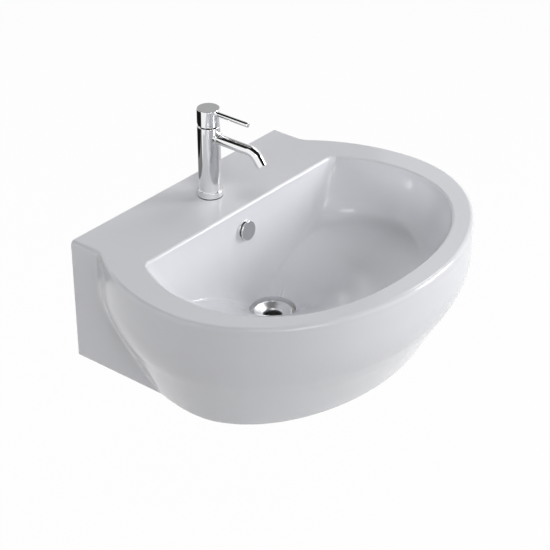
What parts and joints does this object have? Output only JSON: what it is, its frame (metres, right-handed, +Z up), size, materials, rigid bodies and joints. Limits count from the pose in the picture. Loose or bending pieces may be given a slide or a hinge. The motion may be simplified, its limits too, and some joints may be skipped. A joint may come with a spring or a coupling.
{
  "type": "semi recessed basin",
  "caption": "Wall-hung ceramic basin with a square back ledge and projecting round bowl, overflow cover, dished waste and a pin-lever mixer tap with a short bent spout.",
  "frame": {"origin": "the middle of the two wall fixing holes, on the wall face, 70 mm below the rim", "axes": "+Z up, +Y into the wall, so the bowl faces -Y; +X to the right of someone who stands at the bowl"},
  "size_m": [0.6001, 0.475, 0.41],
  "materials": {
    "glaze": "glossy white glaze",
    "chrome": "polished chrome plate",
    "brass": "turned brass",
    "bare_steel": "zinc plated steel",
    "white_plastic": "moulded white plastic",
    "grey_plastic": "moulded grey plastic",
    "white_disc": "lapped ceramic",
    "black_rubber": "moulded rubber"
  },
  "bodies": {
    "basin_and_tap": {"basin": "glaze", "overflow_collar": "chrome", "overflow_clip": "white_plastic", "overflow_cover": "chrome", "waste_flange": "chrome", "waste_upper_seal": "black_rubber", "waste_lower_seal": "black_rubber", "waste_slip_washer": "white_plastic", "waste_backnut": "brass", "tap_base_seal": "black_rubber", "tap_base_ring": "chrome", "tap_body": "chrome", "mounting_stud": "bare_steel", "rubber_horseshoe": "black_rubber", "steel_horseshoe": "bare_steel", "fixing_nut": "brass", "spout_tube": "chrome", "spout_collar": "chrome", "aerator_housing": "white_plastic", "aerator_insert": "white_plastic", "aerator_seal": "black_rubber", "cartridge_port_seals": "black_rubber", "cartridge_base": "grey_plastic", "cartridge_housing": "grey_plastic", "cartridge_side_seal": "black_rubber", "fixed_disc": "white_disc", "cartridge_nut": "brass", "trim_ring": "chrome"},
    "swivel": {"cartridge_rotor": "grey_plastic", "spindle_pin": "bare_steel"},
    "lever": {"lever_spindle": "brass", "lever_head": "chrome", "lever_pin": "chrome", "head_grub_screw": "bare_steel", "head_plug": "grey_plastic"},
    "disc": {"moving_disc": "white_disc", "disc_carrier": "grey_plastic"}
  },
  "joints": [
    {"name": "lever_turn", "type": "hinge", "parent": "basin_and_tap", "child": "swivel", "pos_m": [0, -0.065, 0.17652], "axis": [0, 0, 1], "range_deg": [-45, 45]},
    {"name": "lever_lift", "type": "hinge", "parent": "swivel", "child": "lever", "pos_m": [0, -0.065, 0.17652], "axis": [-1, 0, 0], "range_deg": [0, 20]},
    {"name": "disc_slide", "type": "slide", "parent": "swivel", "child": "disc", "axis": [0, -1, 0], "range_m": [0, 0.0032]}
  ],
  "couplings": [
    {"joint": "disc_slide", "follows": "lever_lift", "m_per_rad": 0.009}
  ]
}
